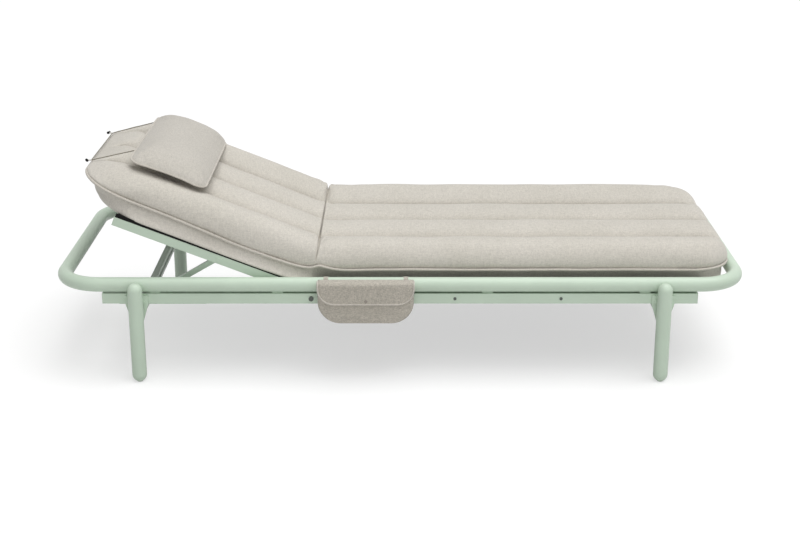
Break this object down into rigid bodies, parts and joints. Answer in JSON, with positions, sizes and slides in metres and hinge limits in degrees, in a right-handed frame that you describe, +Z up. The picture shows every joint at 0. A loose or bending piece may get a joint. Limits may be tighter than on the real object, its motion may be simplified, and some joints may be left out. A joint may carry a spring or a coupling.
{
  "type": "sun lounger",
  "caption": "Tubular sun lounger with a reclining back, a channelled mattress with piping, a head pillow on an elastic cord and a side pocket with a flap.",
  "frame": {"origin": "on the floor, under the middle of the tube ring", "axes": "+X along the length towards the foot end, +Y towards the user's left, +Z up"},
  "size_m": [1.9998, 0.894, 0.6396],
  "materials": {
    "mint_paint": "matte",
    "dark_slat": "matte",
    "mattress_cloth": "matte",
    "pillow_cloth": "matte",
    "pocket_cloth": "matte",
    "elastic_cord": "matte",
    "pale_webbing": "matte",
    "zinc_steel": "satin",
    "grey_plastic": "matte",
    "black_plastic": "matte"
  },
  "bodies": {
    "frame": {"head_end_tube": "mint_paint", "foot_end_tube": "mint_paint", "side_tube_left": "mint_paint", "side_tube_right": "mint_paint", "side_rail_left": "mint_paint", "side_rail_right": "mint_paint", "rail_lugs": "mint_paint", "leg_head_left": "mint_paint", "leg_head_right": "mint_paint", "leg_foot_left": "mint_paint", "leg_foot_right": "mint_paint", "leg_brackets": "mint_paint", "head_cross_bar": "mint_paint", "foot_cross_bar": "mint_paint", "seat_stringer_left": "mint_paint", "seat_stringer_right": "mint_paint", "prop_rack_left": "mint_paint", "prop_rack_right": "mint_paint", "tube_sleeves": "mint_paint", "seat_slats": "dark_slat", "bracket_bolts": "zinc_steel", "deck_screws": "zinc_steel", "rack_screws": "zinc_steel", "hinge_bolts": "zinc_steel", "hinge_nuts": "zinc_steel", "rail_end_caps": "grey_plastic", "foot_glides": "grey_plastic", "hinge_bushes": "grey_plastic", "seat_slat_strips": "black_plastic", "seat_cushion": "mattress_cloth", "seat_piping": "mattress_cloth", "cushion_fold": "mattress_cloth"},
    "backrest": {"backrest_rail_left": "mint_paint", "backrest_rail_right": "mint_paint", "backrest_cross_bars": "mint_paint", "backrest_slats": "dark_slat", "prop_pins": "zinc_steel", "prop_nuts": "zinc_steel", "backrest_rail_caps": "grey_plastic", "prop_bushes": "grey_plastic", "backrest_cushion": "mattress_cloth", "backrest_piping": "mattress_cloth", "elastic_cord": "elastic_cord", "cord_loops": "pale_webbing", "cord_toggles": "black_plastic", "backrest_slat_strips": "black_plastic"},
    "prop": {"prop_arm_left": "mint_paint", "prop_arm_right": "mint_paint", "prop_foot_bar": "mint_paint"},
    "pillow": {"head_pillow": "pillow_cloth"},
    "pocket": {"pocket_pouch": "pocket_cloth", "pocket_straps": "pocket_cloth"},
    "flap": {"pocket_flap": "pocket_cloth", "snap_cap": "zinc_steel"}
  },
  "joints": [
    {"name": "backrest_recline", "type": "hinge", "parent": "frame", "child": "backrest", "pos_m": [-0.254, 0, 0.241], "axis": [0, 1, 0], "range_deg": [-21.4, 20.6], "deforming": ["cushion_fold"]},
    {"name": "prop_fold", "type": "hinge", "parent": "backrest", "child": "prop", "pos_m": [-0.51749, 0, 0.34426], "axis": [0, 1, 0], "range_deg": [-45.7, 47.5]},
    {"name": "pillow_slide", "type": "slide", "parent": "backrest", "child": "pillow", "axis": [-0.9311, 0, 0.3649], "range_m": [-0.1, 0.03], "deforming": ["elastic_cord"]},
    {"name": "pocket_slide", "type": "slide", "parent": "frame", "child": "pocket", "axis": [1, 0, 0], "range_m": [-0.1, 0.2]},
    {"name": "flap_open", "type": "hinge", "parent": "pocket", "child": "flap", "pos_m": [-0.097, -0.4066, 0.302], "axis": [-1, 0, 0], "range_deg": [0, 120]}
  ],
  "couplings": [
    {"joint": "prop_fold", "follows": "backrest_recline", "ratio": -2.2158}
  ]
}
